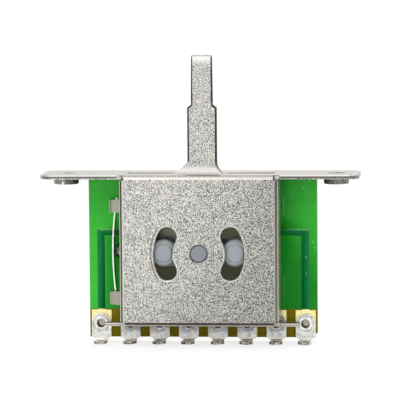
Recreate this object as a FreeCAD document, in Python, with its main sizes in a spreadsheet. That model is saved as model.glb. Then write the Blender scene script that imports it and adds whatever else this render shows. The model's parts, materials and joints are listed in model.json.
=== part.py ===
import FreeCAD, Part
import math
import os
import Sketcher

# Lever switch with five positions for an electric guitar.
# A folded steel frame carries a circuit board at its back and a tilting lever between the two.
# +X runs along the mounting plate, +Y points to the back of the switch and +Z points up.
# The origin lies on top of the mounting plate, midway between the two mounting holes.

doc = FreeCAD.newDocument("SelectorSwitch")
dim = doc.addObject("Spreadsheet::Sheet", "Dim")

SIZES = [
    ("sheet_thick", 0.6, "frame sheet"),
    ("bend_inner", 0.15, "inner radius of the frame's bends"),
    ("hole_spacing", 41.3, "between the mounting holes"),
    ("plate_length", 48.5, "mounting plate, tip to tip"),
    ("plate_depth", 10.4, "mounting plate, front to back"),
    ("plate_corner", 2.0, "corner radius of the mounting plate"),
    ("edge_bevel", 0.16, "bevel along the frame's stamped edges"),
    ("relief_width", 0.35, "relief slits beside the top bend"),
    ("relief_depth", 0.25, "relief slits, past the bend"),
    ("collar_outer", 3.85, "outer diameter of the tapped collars"),
    ("collar_drop", 1.05, "height of the tapped collars below the sheet"),
    ("collar_bevel", 0.12, "bevel of the collar's lower edge"),
    ("thread_bore", 2.5, "core diameter of the M3 thread"),
    ("thread_sink", 0.25, "countersink of the tapped holes"),
    ("case_width", 24.1, "front plate with both side bends"),
    ("case_height", 23.0, "front plate with its top and bottom bends"),
    ("lever_slot_length", 22.4, "slot for the lever in the mounting plate"),
    ("lever_slot_width", 3.0, "slot for the lever, front to back"),
    ("lever_slot_corner", 0.5, "corner radius of the lever slot"),
    ("pivot_middle_gap", 0.4, "pivot axis below the middle of the case"),
    ("pivot_hole", 2.6, "pivot hole in the front plate"),
    ("kidney_radius", 5.45, "centreline of the kidney slots about the pivot"),
    ("kidney_width", 2.8, "width of the kidney slots"),
    ("kidney_reach", 28.6, "angle from level to the kidney slot's end centre"),
    ("flange_slope", 7.0, "the bottom flange springs open by this angle"),
    ("flange_length", 6.0, "bottom flange past its bend"),
    ("ear_length", 1.8, "ears of the bottom flange, front to back"),
    ("ear_span", 29.8, "bottom flange across both ears"),
    ("hook_end_gap", 4.47, "hook's centre from the end of the wall that carries it"),
    ("hook_height", 2.0, "height of a hook"),
    ("hook_reach", 1.85, "hook's outer face out from the wall"),
    ("hook_front", 2.6, "hook's front face in front of the lever plane"),
    ("hook_back", 0.6, "hook's free end behind the lever plane"),
    ("window_back", 1.6, "hook window's end behind the lever plane"),
    ("window_gap", 0.15, "hook window above and below the hook"),
    ("wall_notch_depth", 1.3, "notch at a side wall's lower rear corner, front to back"),
    ("wall_notch_height", 2.3, "top of that notch above the underside of the case"),
    ("tab_height", 2.4, "locking tabs through the board"),
    ("tab_end_gap", 4.7, "locking tab's centre from the end of the wall that carries it"),
    ("tab_past_board", 0.05, "straight part of a tab behind the board"),
    ("tab_tip_length", 0.8, "turned tip of a tab"),
    ("tab_turn", 32.0, "angle that locks the tab"),
    ("board_setback", 7.8, "board's front face behind the front plate's face"),
    ("board_width", 35.1, "board"),
    ("board_thick", 1.6, "board"),
    ("board_case_gap", 2.55, "board's lower edge below the case"),
    ("board_top_gap", 0.05, "board's upper edge under the mounting plate"),
    ("board_corner", 0.7, "chamfer of the board's lower right corner"),
    ("board_slot_gap", 0.06, "board slot around a locking tab"),
    ("mask_thick", 0.05, "solder mask"),
    ("mask_case_gap", 1.8, "solder mask's lower edge above the underside of the case"),
    ("mask_margin", 0.12, "solder mask window around what it leaves bare"),
    ("trace_rise", 0.04, "how far a covered track lifts the mask"),
    ("trace_level", 8.95, "upper edge of the covered tracks"),
    ("trace_width", 1.15, "upright leg of a covered track"),
    ("trace_leg", 0.9, "level leg of a covered track"),
    ("terminal_pitch", 4.5, "between terminals"),
    ("terminal_thick", 0.4, "terminal sheet"),
    ("terminal_width", 3.0, "terminal on the board"),
    ("rivet_edge_gap", 2.18, "rivet row above the board's lower edge"),
    ("shoulder_drop", 2.1, "where the terminal starts to narrow, below its rivet"),
    ("neck_drop", 2.5, "lower end of the terminal's shoulders, below its rivet"),
    ("neck_width", 1.75, "terminal's neck"),
    ("eye_drop", 2.9, "underside of the solder eye, below the rivet"),
    ("eye_width", 2.1, "solder eye"),
    ("eye_reach", 3.0, "solder eye's tip in front of the terminal's face"),
    ("eye_hole", 1.0, "hole in the solder eye"),
    ("eye_bend", 0.1, "slant inside the solder eye's bend"),
    ("pad_thick", 0.04, "gold plated copper pad"),
    ("pad_width", 3.1, "pad"),
    ("pad_mask_gap", 0.15, "pad's upper edge below the solder mask"),
    ("pad_notch", 1.08, "narrow end of the track that meets the pad"),
    ("rivet_shank", 1.7, "rivet's shank"),
    ("rivet_gap", 0.05, "radial gap around the rivet's shank"),
    ("rivet_rim", 2.3, "rolled rim in front of the terminal"),
    ("rivet_rim_rise", 0.26, "rolled rim's height"),
    ("rivet_dimple", 1.37, "dimple in the rivet"),
    ("rivet_dimple_depth", 0.75, "dimple's depth from the rim"),
    ("rivet_head", 2.5, "rivet's head behind the board"),
    ("rivet_head_rise", 0.42, "rivet head's height"),
    ("lever_thick", 1.2, "lever"),
    ("lever_tip", 18.0, "lever's tip above the plate's top"),
    ("blade_width", 3.36, "blade that takes the knob"),
    ("blade_shoulder", 10.4, "foot of the narrow blade above the plate's top"),
    ("shoulder_height", 0.46, "height of the sloped shoulders"),
    ("stem_width", 4.52, "lever between its shoulders and its foot"),
    ("stem_side_gap", 0.25, "middle of the blade and the stem, right of the pivot"),
    ("flare_left", 1.55, "where the lever's left edge starts to widen, above the plate"),
    ("flare_right", 1.8, "where the lever's right edge starts to widen, above the plate"),
    ("flare_radius", 2.0, "concave round on the right of the flare"),
    ("flare_turn", 60.0, "angle that this round turns through"),
    ("cheek_right", 4.6, "lever's right edge below the plate"),
    ("cheek_left", 6.5, "lever's left corner below the plate"),
    ("cheek_height", 2.0, "upright edge of the lever's right cheek"),
    ("blade_bevel", 0.3, "bevel along the blade's edges"),
    ("hub_wall", 0.8, "steel around the lever's hub hole"),
    ("cheek_slope", 39.4, "angle of the lever's left shoulder below level"),
    ("waist_width", 3.0, "lever's right edge above its hub"),
    ("waist_height", 3.6, "where that edge meets the hub, above the pivot"),
    ("arm_half", 2.4, "lower edge of the left arm below the pivot"),
    ("sector_depth", 2.53, "toothed sector from its crests inwards"),
    ("sector_reach", 33.0, "toothed sector above and below level"),
    ("detent_step", 13.0, "angle between two positions"),
    ("position_count", 5.0, "number of positions"),
    ("detent_depth", 0.3, "depth of a notch"),
    ("ball_size", 3.0, "detent ball"),
    ("ball_gap", 0.03, "gap between the ball and what it rides on"),
    ("ball_hole_gap", 0.05, "radial gap around the ball in the wall"),
    ("ball_proud", 1.21, "ball's outermost point out from the wall"),
    ("spring_thick", 0.25, "detent leaf spring"),
    ("spring_width", 3.2, "detent leaf spring, front to back"),
    ("spring_end_gap", 3.25, "leaf spring's end from the end of the wall that carries it"),
    ("spring_bow", 51.0, "radius of the bowed leaf spring"),
    ("carrier_hub", 4.9, "carrier's hub"),
    ("carrier_hub_gap", 0.05, "radial gap of the hub in the lever"),
    ("hub_play", 0.1, "hub's end behind the front plate"),
    ("hub_flange", 6.6, "carrier's disc behind the lever"),
    ("journal_gap", 0.05, "radial gap of both journals"),
    ("journal_lead", 0.15, "chamfer on the journals' ends"),
    ("journal_recess", 0.05, "journal's end behind the front plate's face"),
    ("rear_journal", 2.4, "journal in the board"),
    ("rear_journal_recess", 0.1, "rear journal's end inside the board's back face"),
    ("boss_outer", 4.1, "spring bosses of the carrier"),
    ("boss_crown", 2.6, "raised crown on a boss"),
    ("boss_crown_rise", 0.2, "height of the crown"),
    ("boss_bevel", 0.3, "bevel of a boss's rim"),
    ("boss_play", 0.25, "crown behind the front plate"),
    ("boss_hole_gap", 0.05, "radial gap of the left boss in the lever"),
    ("spring_pocket", 2.7, "spring pocket in a boss"),
    ("pocket_floor", 0.8, "nylon in front of the pocket"),
    ("bar_height", 3.3, "carrier's bar behind the lever"),
    ("bar_end_gap", 2.95, "carrier's bar, short of the outside of the wall"),
    ("bar_gap", 0.05, "carrier's bar behind the lever"),
    ("track_thick", 0.08, "contact track"),
    ("track_width", 0.9, "contact track"),
    ("track_inner", 3.1, "centreline of the inner contact tracks"),
    ("track_wall_gap", 4.05, "centreline of the outer contact tracks inside the outside of the wall"),
    ("track_sweep", 32.0, "contact tracks above and below level"),
    ("track_split", 13.0, "gap between two outer tracks, from level"),
    ("track_split_half", 0.9, "half of that gap"),
    ("window_sweep", 46.0, "solder mask window above and below level"),
    ("bar_track_gap", 0.42, "carrier's bar in front of the tracks"),
    ("wiper_lift", 0.05, "wiper's contact points in front of the tracks"),
    ("wiper_thick", 0.25, "wiper sheet"),
    ("wiper_width", 1.6, "wiper"),
    ("wiper_margin", 0.5, "wiper past its contact points"),
    ("wiper_point", 0.7, "wiper's contact point"),
    ("wiper_point_rise", 0.45, "height of a contact point"),
    ("wiper_stud", 1.2, "stud that centres the contact spring"),
    ("wiper_stud_rise", 0.7, "height of the stud"),
    ("recess_gap", 0.1, "recess around a wiper"),
    ("recess_depth", 0.85, "recess for a wiper"),
    ("coil_wire", 0.26, "contact spring wire, thick and wide"),
    ("coil_mean", 2.04, "contact spring, mean diameter"),
    ("coil_turns", 3.0, "number of contact spring turns"),
]

# Small leans, in degrees, that the hand-riveted terminals have from left to right.
TERMINAL_LEANS = (-1.5, -2.5, -2.8, -0.7, -2.3, 0.6, -0.7, 1.5)

# Sides of the small rounds that repeat, in sight and hidden.
ROUND_SIDES = 12
HIDDEN_SIDES = 8

# Slack in millimetres when an edge is picked by its place.
SLACK = 1e-4

for row, (alias, value, note) in enumerate(SIZES, start=1):
    dim.set(f"A{row}", alias)
    dim.set(f"B{row}", str(value))
    dim.set(f"C{row}", note)
    dim.setAlias(f"B{row}", alias)
doc.recompute()

# Derived places, written as expressions on the sheet.
FRONT = "(-Dim.plate_depth / 2)"
WALL = "(Dim.case_width / 2)"
BEND_OUTER = "(Dim.bend_inner + Dim.sheet_thick)"
STRIP = f"({WALL} - {BEND_OUTER})"
BOARD_FRONT = f"({FRONT} + Dim.board_setback)"
BOARD_BACK = f"({BOARD_FRONT} + Dim.board_thick)"
MASK_FRONT = f"({BOARD_FRONT} - Dim.mask_thick)"
TRACK_FRONT = f"({BOARD_FRONT} - Dim.track_thick)"
PAD_FRONT = f"({BOARD_FRONT} - Dim.pad_thick)"
PLATE_INNER = f"({FRONT} + Dim.sheet_thick)"
BAR_BACK = f"({TRACK_FRONT} - Dim.bar_track_gap)"
BAR_FRONT = "(Dim.lever_thick / 2 + Dim.bar_gap)"
BALL_CENTRE = f"({WALL} + Dim.ball_proud - Dim.ball_size / 2)"
SEAT_CENTRE = f"({BALL_CENTRE} - Dim.detent_depth)"
NOTCH_RADIUS = "(Dim.ball_size / 2 + Dim.ball_gap)"
CREST = f"({BALL_CENTRE} - {NOTCH_RADIUS})"
SECTOR_INNER = f"({CREST} - Dim.sector_depth)"
TRACK_OUTER = f"({WALL} - Dim.track_wall_gap)"
WIPER_CENTRE = f"((Dim.track_inner + {TRACK_OUTER}) / 2)"
WIPER_POINT = f"(({TRACK_OUTER} - Dim.track_inner) / 2)"
WIPER_BACK = f"({TRACK_FRONT} - Dim.wiper_lift - Dim.wiper_point_rise)"
RIVET_HOLE = "(Dim.rivet_shank / 2 + Dim.rivet_gap)"
RISE = "(Dim.case_height / 2 + Dim.pivot_middle_gap)"
HOOK_LEVEL = "(Dim.case_height / 2 - Dim.hook_end_gap)"
TAB_LEVEL = "(Dim.case_height / 2 - Dim.tab_end_gap)"
SPRING_HALF = "(Dim.case_height / 2 - Dim.spring_end_gap)"
BOARD_TOP = "(-Dim.sheet_thick - Dim.board_top_gap)"
BOARD_LOW = "(-Dim.case_height - Dim.board_case_gap)"
MASK_LOW = "(Dim.mask_case_gap - Dim.case_height)"
PAD_TOP = f"({MASK_LOW} - Dim.pad_mask_gap)"
RIVET_ROW = f"({BOARD_LOW} + Dim.rivet_edge_gap)"


def number(text):
    """Value of an expression on the sheet."""
    return float(dim.evalExpression(text))


def new_body(label, place=("0", "0", "0")):
    """Empty body at a place given by three expressions."""
    body = doc.addObject("PartDesign::Body", label)
    body.Label = label
    for axis, text in zip("xyz", place):
        body.setExpression(f".Placement.Base.{axis}", text)
    return body


def origin_part(body, role):
    """Plane or axis of a body's own origin."""
    return next(part for part in body.Origin.OriginFeatures if part.Role == role)


def new_sketch(body, name, plane, offset="0", shift=("0", "0"), turn="0"):
    """Sketch on an origin plane: XY looks along Z, XZ looks along -Y and YZ looks along X."""
    sketch = body.newObject("Sketcher::SketchObject", name)
    sketch.AttachmentSupport = (origin_part(body, f"{plane}_Plane"), [""])
    sketch.MapMode = "FlatFace"
    sketch.setExpression(".AttachmentOffset.Base.x", shift[0])
    sketch.setExpression(".AttachmentOffset.Base.y", shift[1])
    sketch.setExpression(".AttachmentOffset.Base.z", offset)
    sketch.setExpression(".AttachmentOffset.Rotation.Angle", turn)
    return sketch


def pin_point(sketch, shape, point, x_text, y_text):
    """Fixes a point of the sketch at two expressions."""
    for kind, axis, text in (("DistanceX", -2, x_text), ("DistanceY", -1, y_text)):
        if text == "0":
            sketch.addConstraint(Sketcher.Constraint("PointOnObject", shape, point, axis))
            continue
        index = sketch.addConstraint(
            Sketcher.Constraint(kind, -1, 1, shape, point, number(text))
        )
        sketch.setExpression(f"Constraints[{index}]", text)


def add_circle(sketch, x_text, y_text, diameter):
    """Circle with its centre and diameter on expressions."""
    centre = FreeCAD.Vector(number(x_text), number(y_text), 0)
    shape = sketch.addGeometry(Part.Circle(centre, FreeCAD.Vector(0, 0, 1), number(diameter) / 2))
    index = sketch.addConstraint(Sketcher.Constraint("Diameter", shape, number(diameter)))
    sketch.setExpression(f"Constraints[{index}]", diameter)
    pin_point(sketch, shape, 3, x_text, y_text)


def add_small_round(sketch, x_text, y_text, diameter, sides=ROUND_SIDES):
    """Small repeated round, drawn with a few straight sides."""
    turn = 360 / sides
    add_outline(sketch, [
        (f"({x_text} + {diameter} / 2 * cos({turn * (i + 0.5)}))",
         f"({y_text} + {diameter} / 2 * sin({turn * (i + 0.5)}))")
        for i in range(sides)
    ])


def add_outline(sketch, corners, arcs=None):
    """Closed outline through corners; arcs maps an edge's number to its centre and its sense."""
    arcs = arcs or {}
    points = [FreeCAD.Vector(number(x), number(y), 0) for x, y in corners]
    shapes = []
    for i, start in enumerate(points):
        end = points[(i + 1) % len(points)]
        if i not in arcs:
            shapes.append((sketch.addGeometry(Part.LineSegment(start, end)), 1, 2))
            continue
        x_text, y_text, sense = arcs[i]
        centre = FreeCAD.Vector(number(x_text), number(y_text), 0)
        first, last = (start, end) if sense > 0 else (end, start)
        angles = [math.atan2(p.y - centre.y, p.x - centre.x) for p in (first, last)]
        circle = Part.Circle(centre, FreeCAD.Vector(0, 0, 1), (start - centre).Length)
        shape = sketch.addGeometry(Part.ArcOfCircle(circle, *angles))
        shapes.append((shape, 1, 2) if sense > 0 else (shape, 2, 1))
    for i, (shape, head, tail) in enumerate(shapes):
        following, next_head, next_tail = shapes[(i + 1) % len(shapes)]
        sketch.addConstraint(Sketcher.Constraint("Coincident", shape, tail, following, next_head))
        pin_point(sketch, shape, head, *corners[i])
    for i, (x_text, y_text, sense) in arcs.items():
        chord = points[(i + 1) % len(points)] - points[i]
        shape = shapes[i][0]
        kind, text = ("DistanceX", x_text) if abs(chord.y) > abs(chord.x) else ("DistanceY", y_text)
        index = sketch.addConstraint(Sketcher.Constraint(kind, -1, 1, shape, 3, number(text)))
        sketch.setExpression(f"Constraints[{index}]", text)


def add_rectangle(sketch, x_low, y_low, x_high, y_high):
    """Rectangle between four expressions."""
    add_outline(sketch, [(x_low, y_low), (x_high, y_low), (x_high, y_high), (x_low, y_high)])


def add_round_rectangle(sketch, x_low, y_low, x_high, y_high, radius):
    """Rectangle with round corners."""
    left, right = f"({x_low} + {radius})", f"({x_high} - {radius})"
    low, high = f"({y_low} + {radius})", f"({y_high} - {radius})"
    corners = [
        (left, y_low), (right, y_low), (x_high, low), (x_high, high),
        (right, y_high), (left, y_high), (x_low, high), (x_low, low),
    ]
    arcs = {1: (right, low, 1), 3: (right, high, 1), 5: (left, high, 1), 7: (left, low, 1)}
    add_outline(sketch, corners, arcs)


def add_sector(sketch, inner, outer, low, high, side=1):
    """Ring sector about the sketch's origin, from one angle above level to another."""
    def at(radius, angle):
        return f"({side} * {radius} * cos({angle}))", f"({radius} * sin({angle}))"
    corners = [at(inner, low), at(outer, low), at(outer, high), at(inner, high)]
    add_outline(sketch, corners, {1: ("0.0", "0.0", side), 3: ("0.0", "0.0", -side)})


def add_band(sketch, radius, width, reach, side):
    """Kidney slot about the sketch's origin with round ends at equal angles above and below level."""
    def at(distance, sign):
        return (
            f"({side} * ({distance}) * cos({reach}))",
            f"({sign} * ({distance}) * sin({reach}))",
        )
    inner, outer = f"{radius} - {width} / 2", f"{radius} + {width} / 2"
    corners = [at(inner, -1), at(outer, -1), at(outer, 1), at(inner, 1)]
    arcs = {
        0: (*at(radius, -1), side),
        1: ("0.0", "0.0", side),
        2: (*at(radius, 1), side),
        3: ("0.0", "0.0", -side),
    }
    add_outline(sketch, corners, arcs)


def extrude(sketch, kind, length, away=False, middle=False):
    """Pad or pocket of a sketch by an expression's length."""
    body = sketch.getParentGeoFeatureGroup()
    feature = body.newObject(f"PartDesign::{kind}", f"{sketch.Name}_{kind}")
    feature.Profile = sketch
    feature.setExpression("Length", length)
    feature.Reversed = away
    feature.SideType = "Symmetric" if middle else "One side"
    return feature


def cut(sketch, length, away=False, middle=False):
    """Pocket that must remove something."""
    body = sketch.getParentGeoFeatureGroup()
    doc.recompute()
    before = body.Shape.Volume
    feature = extrude(sketch, "Pocket", length, away, middle)
    doc.recompute()
    if not body.Shape.Volume < before:
        raise RuntimeError(f"{feature.Name} cuts nothing")
    return feature


def repeat(body, kind, originals, **settings):
    """Pattern or mirror of some features of a body."""
    feature = body.newObject(f"PartDesign::{kind}", f"{originals[-1].Name}_{kind}")
    feature.Originals = originals
    for name, value in settings.items():
        if isinstance(value, str) and name not in ("Mode", "TransformMode"):
            feature.setExpression(name, value)
        else:
            setattr(feature, name, value)
    body.Tip = feature
    return feature


def dress(body, kind, size, wanted):
    """Fillet or chamfer on the edges that a test picks from the body's current shape."""
    doc.recompute()
    base = body.Tip
    names = [f"Edge{i}" for i, edge in enumerate(base.Shape.Edges, start=1) if wanted(edge)]
    if not names:
        raise RuntimeError(f"no edge to round on {body.Label}")
    feature = body.newObject(f"PartDesign::{kind}", f"{body.Label}_{kind}")
    feature.Base = (base, names)
    feature.setExpression("Radius" if kind == "Fillet" else "Size", size)
    doc.recompute()
    return feature


def near(value, text):
    """True where a number equals an expression."""
    return abs(value - number(text)) < SLACK


def is_arc(edge, radius):
    """True for a circular edge of a radius given by an expression."""
    return isinstance(edge.Curve, Part.Circle) and near(edge.Curve.Radius, radius)


def frame_plate(body):
    """Mounting plate with its wings, the relief slits and the bend down to the front plate."""
    half, depth = "Dim.plate_length / 2", "Dim.plate_depth / 2"
    corner = "Dim.plate_corner"
    notch_x = f"({STRIP} + Dim.relief_width)"
    notch_y = f"({FRONT} + {BEND_OUTER} + Dim.relief_depth)"
    end, side = f"({half} - {corner})", f"({depth} - {corner})"
    corners = [
        (f"-{end}", FRONT), (f"-{notch_x}", FRONT), (f"-{notch_x}", notch_y),
        (notch_x, notch_y), (notch_x, FRONT), (end, FRONT),
        (half, f"-{side}"), (half, side), (end, depth),
        (f"-{end}", depth), (f"-{half}", side), (f"-{half}", f"-{side}"),
    ]
    arcs = {
        5: (end, f"-{side}", 1), 7: (end, side, 1),
        9: (f"-{end}", side, 1), 11: (f"-{end}", f"-{side}", 1),
    }
    wings = new_sketch(body, "wings", "XY")
    add_outline(wings, corners, arcs)
    extrude(wings, "Pad", "Dim.sheet_thick", away=True)

    fold = new_sketch(body, "top_fold", "YZ")
    centre = (f"({FRONT} + {BEND_OUTER})", f"-{BEND_OUTER}")
    corners = [
        (FRONT, f"-{BEND_OUTER}"), (centre[0], "0"), (depth, "0"),
        (depth, "-Dim.sheet_thick"), (centre[0], "-Dim.sheet_thick"), (PLATE_INNER, f"-{BEND_OUTER}"),
    ]
    add_outline(fold, corners, {0: (*centre, -1), 4: (*centre, 1)})
    extrude(fold, "Pad", f"2 * {STRIP}", middle=True)


def frame_walls(body):
    """Front plate between its two side walls, bent from one strip."""
    inner = f"({WALL} - Dim.sheet_thick)"
    bend_y = f"({FRONT} + {BEND_OUTER})"
    corners = [
        (f"-{WALL}", MASK_FRONT), (f"-{WALL}", bend_y), (f"-{STRIP}", FRONT), (STRIP, FRONT),
        (WALL, bend_y), (WALL, MASK_FRONT), (inner, MASK_FRONT), (inner, bend_y),
        (STRIP, PLATE_INNER), (f"-{STRIP}", PLATE_INNER), (f"-{inner}", bend_y),
        (f"-{inner}", MASK_FRONT),
    ]
    arcs = {
        1: (f"-{STRIP}", bend_y, 1), 3: (STRIP, bend_y, 1),
        7: (STRIP, bend_y, -1), 9: (f"-{STRIP}", bend_y, -1),
    }
    sketch = new_sketch(body, "walls", "XY", offset=f"-{BEND_OUTER}")
    add_outline(sketch, corners, arcs)
    extrude(sketch, "Pad", f"Dim.case_height - 2 * {BEND_OUTER}", away=True)
    start = f"({MASK_FRONT} - Dim.wall_notch_depth)"
    low = f"({BEND_OUTER} - Dim.case_height)"
    high = "(Dim.wall_notch_height - Dim.case_height)"
    notch = new_sketch(body, "wall_notches", "YZ")
    add_outline(notch, [
        (start, low), (MASK_FRONT, low), (MASK_FRONT, high), (f"({start} + Dim.sheet_thick)", high),
    ])
    cut(notch, "Dim.case_width", middle=True)


def frame_flange(body):
    """Bottom flange, sprung open by a few degrees, with an ear at each side of its rear edge."""
    slope, length = "Dim.flange_slope", "Dim.flange_length"
    centre = (f"({FRONT} + {BEND_OUTER})", f"({BEND_OUTER} - Dim.case_height)")

    def at(radius, along):
        return (
            f"({centre[0]} - ({radius}) * sin({slope}) + ({along}) * cos({slope}))",
            f"({centre[1]} - ({radius}) * cos({slope}) - ({along}) * sin({slope}))",
        )
    corners = [
        (FRONT, centre[1]), at(BEND_OUTER, "0"), at(BEND_OUTER, length),
        at("Dim.bend_inner", length), at("Dim.bend_inner", "0"), (PLATE_INNER, centre[1]),
    ]
    sketch = new_sketch(body, "flange", "YZ")
    add_outline(sketch, corners, {0: (*centre, 1), 4: (*centre, -1)})
    extrude(sketch, "Pad", f"2 * {STRIP}", middle=True)
    start = f"{length} - Dim.ear_length"
    ears = new_sketch(body, "ears", "YZ")
    add_outline(ears, [
        at(BEND_OUTER, start), at(BEND_OUTER, length),
        at("Dim.bend_inner", length), at("Dim.bend_inner", start),
    ])
    extrude(ears, "Pad", "Dim.ear_span", middle=True)


def frame_collars(body):
    """Extruded and tapped collars under the wings."""
    places = ("-Dim.hole_spacing / 2", "Dim.hole_spacing / 2")
    collars = new_sketch(body, "collars", "XY", offset="-Dim.sheet_thick")
    for x_text in places:
        add_circle(collars, x_text, "0", "Dim.collar_outer")
    extrude(collars, "Pad", "Dim.collar_drop", away=True)
    low = "-Dim.sheet_thick - Dim.collar_drop"
    dress(body, "Chamfer", "Dim.collar_bevel", lambda edge: is_arc(edge, "Dim.collar_outer / 2")
          and near(edge.Curve.Center.z, low))
    bores = new_sketch(body, "thread_bores", "XY")
    for x_text in places:
        add_circle(bores, x_text, "0", "Dim.thread_bore")
    cut(bores, "Dim.sheet_thick + Dim.collar_drop")
    dress(body, "Chamfer", "Dim.thread_sink", lambda edge: is_arc(edge, "Dim.thread_bore / 2")
          and near(edge.Curve.Center.z, "0"))


def frame_openings(body):
    """Lever slot, pivot hole, kidney slots and the hole for the detent ball."""
    half_x, half_y = "Dim.lever_slot_length / 2", "Dim.lever_slot_width / 2"
    slot = new_sketch(body, "lever_slot", "XY")
    add_round_rectangle(slot, f"-{half_x}", f"-{half_y}", half_x, half_y, "Dim.lever_slot_corner")
    cut(slot, "Dim.sheet_thick")
    front = new_sketch(body, "front_holes", "XZ", offset=f"-{FRONT}", shift=("0", f"-{RISE}"))
    add_circle(front, "0", "0", "Dim.pivot_hole")
    for side in (-1, 1):
        add_band(front, "Dim.kidney_radius", "Dim.kidney_width", "Dim.kidney_reach", side)
    cut(front, "Dim.sheet_thick")
    ball = new_sketch(body, "ball_hole", "YZ", offset=f"-{WALL}", shift=("0", f"-{RISE}"))
    add_circle(ball, "0", "0", "Dim.ball_size + 2 * Dim.ball_hole_gap")
    cut(ball, "Dim.sheet_thick", away=True)


def frame_hooks(body):
    """Hooks lanced from the left wall: each leaves a window and folds twice around the leaf spring."""
    root_y = "(-Dim.hook_front - Dim.bend_inner)"
    half = "Dim.hook_height / 2"
    window = new_sketch(body, "window", "YZ", offset=f"-{WALL}",
                        shift=("0", f"-{RISE} - {HOOK_LEVEL}"))
    add_rectangle(window, root_y, f"-({half} + Dim.window_gap)",
                  "Dim.window_back", f"({half} + Dim.window_gap)")
    opening = cut(window, "Dim.sheet_thick", away=True)

    out = f"({WALL} + Dim.hook_reach)"
    first = (f"(-{WALL} - Dim.bend_inner)", root_y)
    second = (f"({BEND_OUTER} - {out})", f"({root_y} + Dim.bend_inner + {BEND_OUTER})")
    wall_inner = f"(Dim.sheet_thick - {WALL})"
    front, back = f"({root_y} + Dim.bend_inner)", f"({root_y} + {BEND_OUTER})"
    seat = f"({root_y} - Dim.sheet_thick)"
    corners = [
        (wall_inner, seat), (wall_inner, root_y), (first[0], back), (second[0], back),
        (f"(Dim.sheet_thick - {out})", second[1]), (f"(Dim.sheet_thick - {out})", "Dim.hook_back"),
        (f"-{out}", "Dim.hook_back"), (f"-{out}", second[1]), (second[0], front),
        (first[0], front), (f"-{WALL}", root_y), (f"-{WALL}", seat),
    ]
    arcs = {1: (*first, 1), 3: (*second, -1), 7: (*second, 1), 9: (*first, -1)}
    hook = new_sketch(body, "hook", "XY", offset=f"-({RISE} + {HOOK_LEVEL} + {half})")
    add_outline(hook, corners, arcs)
    strip = extrude(hook, "Pad", "Dim.hook_height")
    repeat(body, "LinearPattern", [opening, strip], Direction=(origin_part(body, "Z_Axis"), [""]),
           Mode="Extent", Length=f"2 * {HOOK_LEVEL}", Occurrences=2)


def frame_tabs(body, side):
    """Locking tabs of one wall: each passes through the board and its tip is turned behind it."""
    place = (f"{side} * ({WALL} - Dim.sheet_thick / 2)", f"-{RISE} - {TAB_LEVEL}")
    half_x, half_z = "Dim.sheet_thick / 2", "Dim.tab_height / 2"
    turned = f"({BOARD_BACK} + Dim.mask_thick + Dim.tab_past_board)"
    made = []
    for name, depth, turn, length in (
        ("tab", MASK_FRONT, "0", f"{turned} - {MASK_FRONT}"),
        ("tab_tip", turned, f"{side} * Dim.tab_turn", "Dim.tab_tip_length"),
    ):
        sketch = new_sketch(body, name, "XZ", offset=f"-{depth}", shift=place, turn=turn)
        add_rectangle(sketch, f"-{half_x}", f"-{half_z}", half_x, half_z)
        made.append(extrude(sketch, "Pad", length, away=True))
    doc.recompute()
    repeat(body, "LinearPattern", made, Direction=(origin_part(body, "Z_Axis"), [""]),
           Mode="Extent", Length=f"2 * {TAB_LEVEL}", Occurrences=2)
    doc.recompute()


def frame_edges(body):
    """Bevels the edges that the stamping rolls over: the plate's rim and the front plate's openings."""
    relief = number(f"{STRIP} + Dim.relief_width")
    sink = "Dim.thread_bore / 2 + Dim.thread_sink"

    def rolled(edge):
        box = edge.BoundBox
        on_top = near(box.ZMin, "0") and near(box.ZMax, "0")
        on_wing = max(abs(box.XMin), abs(box.XMax)) > relief + SLACK
        on_front = near(box.YMin, FRONT) and near(box.YMax, FRONT)
        opening = on_front and isinstance(edge.Curve, Part.Circle)
        return (on_top and on_wing and not is_arc(edge, sink)) or opening

    dress(body, "Chamfer", "Dim.edge_bevel", rolled)


def build_frame():
    """Frame, folded from one sheet."""
    body = new_body("frame")
    frame_plate(body)
    frame_walls(body)
    frame_flange(body)
    frame_collars(body)
    frame_openings(body)
    frame_hooks(body)
    for side in (-1, 1):
        frame_tabs(body, side)
    frame_edges(body)
    return body


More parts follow.
